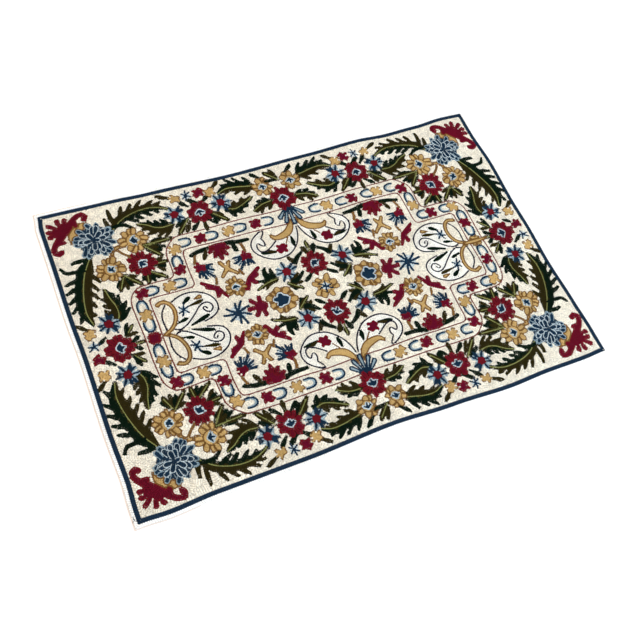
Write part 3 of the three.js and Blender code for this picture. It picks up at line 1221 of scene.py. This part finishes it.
def srgb_to_linear(colour):
    """Colours from 0 to 255 as seen, in the renderer's own light values."""
    share = np.asarray(colour, float) / 255.0
    return np.where(share <= 0.04045, share / 12.92, ((share + 0.055) / 1.055) ** 2.4)


def new_object(name, data):
    """A new object in the scene, at the origin."""
    obj = bpy.data.objects.new(name, data)
    bpy.context.scene.collection.objects.link(obj)
    return obj


def place_camera():
    """The camera at the photograph's viewpoint."""
    data = bpy.data.cameras.new("camera")
    data.sensor_fit = "HORIZONTAL"
    data.sensor_width = SENSOR
    data.lens = CAMERA_LENS
    data.clip_start = 0.05
    camera = new_object("camera", data)
    axes = (Vector(CAMERA_RIGHT), Vector(CAMERA_UP), -Vector(CAMERA_WAY))
    turn = Matrix([[axis[row] for axis in axes] for row in range(3)])
    place = Matrix.Translation(Vector(CAMERA_PLACE) * MM)
    camera.matrix_world = place @ turn.to_4x4()
    bpy.context.scene.camera = camera


def add_light(name, place, aim, power, size, colour):
    """A square soft light that looks at a point."""
    data = bpy.data.lights.new(name, "AREA")
    data.energy = power
    data.size = size
    data.color = colour
    light = new_object(name, data)
    light.location = place
    way = Vector(aim) - Vector(place)
    light.rotation_euler = way.to_track_quat("-Z", "Y").to_euler()


def feed(tree, node, inputs):
    """Gives each of a node's inputs a plain value or another node's output."""
    for name, value in inputs.items():
        if isinstance(value, bpy.types.NodeSocket):
            tree.links.new(value, node.inputs[name])
        else:
            node.inputs[name].default_value = value


def add_node(tree, kind, inputs, **settings):
    """Adds a shader node with its settings and its inputs, and returns its outputs."""
    node = tree.nodes.new("ShaderNode" + kind)
    for name, value in settings.items():
        setattr(node, name, value)
    feed(tree, node, inputs)
    return node.outputs


def light_scene():
    """Soft daylight from the right and the front, as in a bright room."""
    world = bpy.data.worlds.new("soft_room")
    world.use_nodes = True
    feed(world.node_tree, world.node_tree.nodes["Background"], SKY)
    bpy.context.scene.world = world
    add_light("window", (1.7, -1.2, 1.25), (0.05, 0.0, 0.0), 54.0, 1.0, (0.62, 0.8, 1.0))
    add_light("fill", (-1.6, 1.3, 2.0), (0.0, 0.0, 0.0), 27.0, 2.0, (1.0, 0.7, 0.42))


def new_material(name, inputs):
    """A new material with plain values on its shader, and its node tree and shader."""
    material = bpy.data.materials.new(name)
    material.use_nodes = True
    tree = material.node_tree
    shader = tree.nodes["Principled BSDF"]
    feed(tree, shader, inputs)
    return material, tree, shader


def fibre_group():
    """Fine fibres for wool and cotton: a brightness factor and a normal, from Object coordinates."""
    group = bpy.data.node_groups.new("fibres", "ShaderNodeTree")
    for name in ("Scale", "Depth", "Contrast"):
        group.interface.new_socket(name, in_out="INPUT", socket_type="NodeSocketFloat")
    group.interface.new_socket("Shade", in_out="OUTPUT", socket_type="NodeSocketFloat")
    group.interface.new_socket("Normal", in_out="OUTPUT", socket_type="NodeSocketVector")
    given = group.nodes.new("NodeGroupInput").outputs
    place = add_node(group, "TexCoord", {})["Object"]
    noise = {"Vector": place, "Scale": given["Scale"], "Detail": 3.0, "Distortion": 1.2}
    fibre = add_node(group, "TexNoise", noise)["Fac"]
    spread = add_node(group, "Math", {0: fibre, 1: 0.5}, operation="SUBTRACT")[0]
    contrast = {0: spread, 1: given["Contrast"], 2: 1.0}
    shade = add_node(group, "Math", contrast, operation="MULTIPLY_ADD")[0]
    relief = {"Strength": given["Depth"], "Distance": 0.0002, "Height": fibre}
    normal = add_node(group, "Bump", relief)["Normal"]
    feed(group, group.nodes.new("NodeGroupOutput"), {"Shade": shade, "Normal": normal})
    return group


def add_fibres(tree, group, colour, fineness):
    """Breaks up a colour by fibres, and returns it with the fibres' normal."""
    fibres = add_node(tree, "Group", fineness, node_tree=group)
    tint = add_node(tree, "VectorMath", {0: colour, "Scale": fibres["Shade"]}, operation="SCALE")
    return tint["Vector"], fibres["Normal"]


def wool_material(group):
    """Matt twisted wool. Its dye comes from the stitch's own colour, broken up by fibres."""
    plain = {"Roughness": 0.92, "Specular IOR Level": 0.04}
    material, tree, shader = new_material("crewel_wool", plain)
    dye = add_node(tree, "Attribute", {}, attribute_name="dye")["Color"]
    fineness = {"Scale": 1900.0, "Depth": 0.5, "Contrast": 0.55}
    tint, normal = add_fibres(tree, group, dye, fineness)
    feed(tree, shader, {"Base Color": tint, "Normal": normal})
    return material


def cotton_material(group):
    """Unbleached plain-weave cotton, which shows at the hem and underneath."""
    plain = {"Roughness": 0.9, "Specular IOR Level": 0.2}
    material, tree, shader = new_material("ground_cotton", plain)
    threads = {"Vector": add_node(tree, "TexCoord", {})["Object"], "Scale": 420.0, "Distortion": 0.6}
    warp = add_node(tree, "TexWave", threads, bands_direction="X")["Fac"]
    weft = add_node(tree, "TexWave", threads, bands_direction="Y")["Fac"]
    weave = add_node(tree, "Math", {0: warp, 1: weft}, operation="MULTIPLY")[0]
    dye = add_node(tree, "Attribute", {}, attribute_name="dye")["Color"]
    woven = {"A": dye, "B": weave, "Factor": 0.2}
    woven = add_node(tree, "Mix", woven, data_type="RGBA", blend_type="MULTIPLY")["Result"]
    fineness = {"Scale": 1500.0, "Depth": 0.4, "Contrast": 0.3}
    tint, normal = add_fibres(tree, group, woven, fineness)
    relief = {"Strength": 0.6, "Distance": 0.0003, "Height": weave, "Normal": normal}
    normal = add_node(tree, "Bump", relief)["Normal"]
    feed(tree, shader, {"Base Color": tint, "Normal": normal})
    return material


def floor_material():
    """A plain pale floor."""
    plain = {"Base Color": (0.86, 0.86, 0.86, 1.0), "Roughness": 0.8}
    return new_material("pale_floor", plain)[0]


def mesh_object(name, points, faces, material):
    """A smooth-shaded object from arrays of points in millimetres and triangles."""
    mesh = bpy.data.meshes.new(name)
    mesh.vertices.add(len(points))
    mesh.vertices.foreach_set("co", (points * MM).astype(np.float32).ravel())
    mesh.loops.add(faces.size)
    mesh.loops.foreach_set("vertex_index", faces.astype(np.int32).ravel())
    mesh.polygons.add(len(faces))
    mesh.polygons.foreach_set("loop_start", np.arange(0, faces.size, 3, dtype=np.int32))
    mesh.update(calc_edges=True)
    mesh.shade_smooth()
    mesh.materials.append(material)
    return new_object(name, mesh)


def make_floor():
    """The floor that the cloth lies on."""
    bpy.ops.object.select_all(action="DESELECT")
    bpy.ops.mesh.primitive_plane_add(size=FLOOR_SIZE, location=(0.0, 0.0, 0.0))
    floor = bpy.context.object
    floor.name = "floor"
    for vertex in floor.data.vertices:
        vertex.co.z -= FLOOR_DROP
    floor.data.materials.append(floor_material())


def paint_dye(piece, dye):
    """Keeps a colour for each point of a piece in its dye attribute."""
    tone = np.ones((len(dye), 4), np.float32)
    tone[:, :3] = dye
    paint = piece.data.attributes.new("dye", "FLOAT_COLOR", "POINT")
    paint.data.foreach_set("color", tone.ravel())


def paint_cloth(cloth, points, upper, drawing, depth):
    """Colours the cloth: bare cotton, and under the stitches their own wool's fluff, darkened as painted
    shade in the gaps between them.
    """
    row, column = cell_of(drawing, points)
    reach = FLUFF_SHADE_REACH
    # Beside an outline the shape with the higher number counts, which is the ground where it is near.
    for step in ((reach, 0.0), (-reach, 0.0), (0.0, reach), (0.0, -reach)):
        near = cell_of(drawing, points[:, :2] + step)
        higher = drawing.owner[near] > drawing.owner[row, column]
        row = np.where(higher, near[0], row)
        column = np.where(higher, near[1], column)
    shape = drawing.owner[row, column]
    wool = wool_at(drawing, depth, row, column)
    # The wool's colour under the stitches, darkened as painted shade in the gaps between them.
    dye = FLUFF_SHADE * srgb_to_linear(list(WOOLS.values()))[wool]
    dye[~upper | (shape == OUTSIDE) | (shape == HEM)] = srgb_to_linear(COTTON)
    rim = upper & (inward_distance(points[:, 0], points[:, 1]) < SELVEDGE_WIDTH)
    rim &= points[:, 0] < SELVEDGE_END
    dye[rim] = 0.5 * (dye[rim] + srgb_to_linear(SELVEDGE))
    paint_dye(cloth, dye)


def closed_grid(name):
    """A square grid two units wide, closed a unit lower by one large face."""
    bpy.ops.object.select_all(action="DESELECT")
    squares = {"x_subdivisions": SQUARES_ALONG, "y_subdivisions": SQUARES_ACROSS}
    bpy.ops.mesh.primitive_grid_add(size=2.0, **squares)
    grid = bpy.context.object
    grid.name = name
    bpy.ops.object.mode_set(mode="EDIT")
    bpy.ops.mesh.select_mode(type="EDGE")
    bpy.ops.mesh.select_all(action="DESELECT")
    bpy.ops.mesh.select_non_manifold(extend=False)
    bpy.ops.mesh.extrude_region_move(TRANSFORM_OT_translate={"value": (0.0, 0.0, -1.0)})
    bpy.ops.mesh.edge_face_add()
    bpy.ops.object.mode_set(mode="OBJECT")
    return grid


def make_cloth(material, drawing, depth):
    """The cotton ground: a thin closed sheet with uneven edges, a hem and a flat underside."""
    cloth = closed_grid("ground_cloth")
    mesh = cloth.data
    points = np.empty(len(mesh.vertices) * 3, np.float32)
    mesh.vertices.foreach_get("co", points)
    points = points.reshape(-1, 3).astype(float)
    upper = points[:, 2] > -0.5
    # The grid lines crowd towards the rim, where the hem and its step are.
    share = np.sign(points[:, :2]) * (1 - (1 - np.abs(points[:, :2])) ** CROWDING)
    x = share[:, 0] * LENGTH / 2
    y = share[:, 1] * WIDTH / 2
    side_x = np.where(x > 0, inset_at(RIGHT_EDGE, y), inset_at(LEFT_EDGE, y))
    side_y = np.where(y > 0, inset_at(TOP_EDGE, x), inset_at(BOTTOM_EDGE, x))
    points[:, 0] = x - share[:, 0] * side_x
    points[:, 1] = y - share[:, 1] * side_y
    points[:, 2] = np.where(upper, cloth_top(points[:, 0], points[:, 1]), 0.0)
    mesh.vertices.foreach_set("co", (points * MM).astype(np.float32).ravel())
    mesh.update()
    bpy.ops.object.mode_set(mode="EDIT")
    bpy.ops.mesh.select_all(action="SELECT")
    bpy.ops.mesh.normals_make_consistent(inside=False)
    bpy.ops.object.mode_set(mode="OBJECT")
    bpy.ops.object.shade_smooth_by_angle(angle=SOFT_EDGE)
    mesh.materials.append(material)
    paint_cloth(cloth, points, upper, drawing, depth)
    return cloth


# One chain stitch, two plump strands that spread from a narrow tail.
# Each row: share of the way along, share of the half width to the side, height in shares.
STITCH_POINTS = (
    (-0.22, 0.0, 0.10),
    (0.42, -1.0, 0.0),
    (1.12, -0.72, 0.18),
    (0.92, 0.0, 0.22),
    (1.12, 0.72, 0.18),
    (0.42, 1.0, 0.0),
    (0.52, -0.46, 1.0),
    (0.52, 0.46, 1.0),
)
STITCH_UNDERSIDE = ((0, 5, 1), (1, 5, 2), (2, 5, 3), (3, 5, 4))
STITCH_TOP = (
    (0, 1, 6), (1, 2, 6), (2, 3, 6), (3, 0, 6),
    (0, 3, 7), (3, 4, 7), (4, 5, 7), (5, 0, 7),
)


def dye_of(stitches, drawing):
    """The colour of each stitch, with the unevenness of hand-dyed wool."""
    random = np.random.default_rng(SEED + 1)
    start, end, _, shape, wool = stitches.columns()
    middle = (start + end) / 2
    # The cream ground is more even from shape to shape, and less even from stitch to stitch.
    cream = wool == WOOL_NAMES.index("cream")
    lot = random.normal(0.0, 1.0, len(drawing.edge_wool))[shape] * np.where(cream, 0.4, 1.0)
    single = random.normal(0.0, 1.0, len(wool)) * np.where(cream, 1.6, 1.0)
    slow = np.sin(middle[:, 0] / 31.0 + 0.7) * np.sin(middle[:, 1] / 23.0 + middle[:, 0] / 90.0)
    bright = 1.0 + LOT_SPREAD * lot + STITCH_SPREAD * single + SLOW_SPREAD * slow
    colour = srgb_to_linear(list(WOOLS.values()))[wool]
    return np.clip(colour * bright[:, None], 0.0, 1.0)


def stitch_points(stitches):
    """The points of each stitch's form where it lies on the cloth, and the stitches' middles."""
    random = np.random.default_rng(SEED + 2)
    start, end, width, _, _ = stitches.columns()
    count = len(start)
    way = end - start
    length = np.linalg.norm(way, axis=1)[:, None]
    way = way / length
    side = np.column_stack([-way[:, 1], way[:, 0]])
    shape = np.array(STITCH_POINTS)
    middle = (start + end) / 2
    ground = cloth_top(middle[:, 0], middle[:, 1])[:, None] + STITCH_LIFT
    tall = STITCH_HEIGHT * (1.0 + random.normal(0.0, HEIGHT_SPREAD, (count, 1)))
    lean = random.normal(0.0, LEAN_SPREAD, (count, 1)) * shape[None, :, 2]
    along = start[:, None, :] + way[:, None, :] * (shape[None, :, :1] * length[:, None])
    wide = shape[None, :, 1] * (width[:, None] / 2) * SWELL + lean
    points = np.empty((count, len(shape), 3))
    points[:, :, :2] = along + side[:, None, :] * wide[:, :, None]
    points[:, :, 2] = ground + shape[None, :, 2] * tall
    return points, middle


def map_strip(piece, points, middle, faces, number):
    """A flat map of one strip, seen from above, in blocks laid one above another."""
    block_size = np.array([LENGTH / BAKE_BLOCKS, WIDTH / STRIPS])
    block = np.clip((middle[:, 0] + LENGTH / 2) / block_size[0], 0, BAKE_BLOCKS - 1).astype(int)
    corner = np.empty((len(block), 2))
    corner[:, 0] = block * block_size[0] - LENGTH / 2
    corner[:, 1] = number * block_size[1] - WIDTH / 2
    spot = (points[:, :, :2] - corner[:, None, :] + BAKE_MARGIN) / (block_size + 2 * BAKE_MARGIN)
    spot = np.clip(spot, 0.0, 1.0)
    spot[:, :, 1] = (spot[:, :, 1] + block[:, None]) / BAKE_BLOCKS
    flat = piece.data.uv_layers.new(name="OFBake")
    flat.data.foreach_set("uv", spot.reshape(-1, 2)[faces.ravel()].astype(np.float32).ravel())


def make_stitches(stitches, drawing, material):
    """The stitches as a few joined strips, each from one array of points."""
    points, middle = stitch_points(stitches)
    dye = dye_of(stitches, drawing)
    strip = np.clip(((middle[:, 1] + WIDTH / 2) / (WIDTH / STRIPS)).astype(int), 0, STRIPS - 1)
    corners = len(STITCH_POINTS)
    pieces = []
    for number in range(STRIPS):
        chosen = np.nonzero(strip == number)[0]
        offset = np.arange(len(chosen))[:, None, None] * corners
        under = (np.array(STITCH_UNDERSIDE) + offset).reshape(-1, 3)
        over = (np.array(STITCH_TOP) + offset).reshape(-1, 3)
        faces = np.concatenate([under, over])
        name = f"chain_stitch_{number + 1}"
        piece = mesh_object(name, points[chosen].reshape(-1, 3), faces, material)
        map_strip(piece, points[chosen], middle[chosen], faces, number)
        paint_dye(piece, np.repeat(dye[chosen], corners, axis=0))
        pieces.append(piece)
    return pieces


def main():
    """The worked cloth on its floor."""
    bpy.context.scene.view_settings.view_transform = "Standard"
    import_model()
    place_camera()
    light_scene()
    make_floor()
    fibres = fibre_group()
    drawing = draw_design()
    stitches, depth = draw_stitches(drawing)
    cloth = make_cloth(cotton_material(fibres), drawing, depth)
    pieces = make_stitches(stitches, drawing, wool_material(fibres))
    for piece in (cloth, *pieces):
        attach(piece, "root")
    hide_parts("panel")


main()
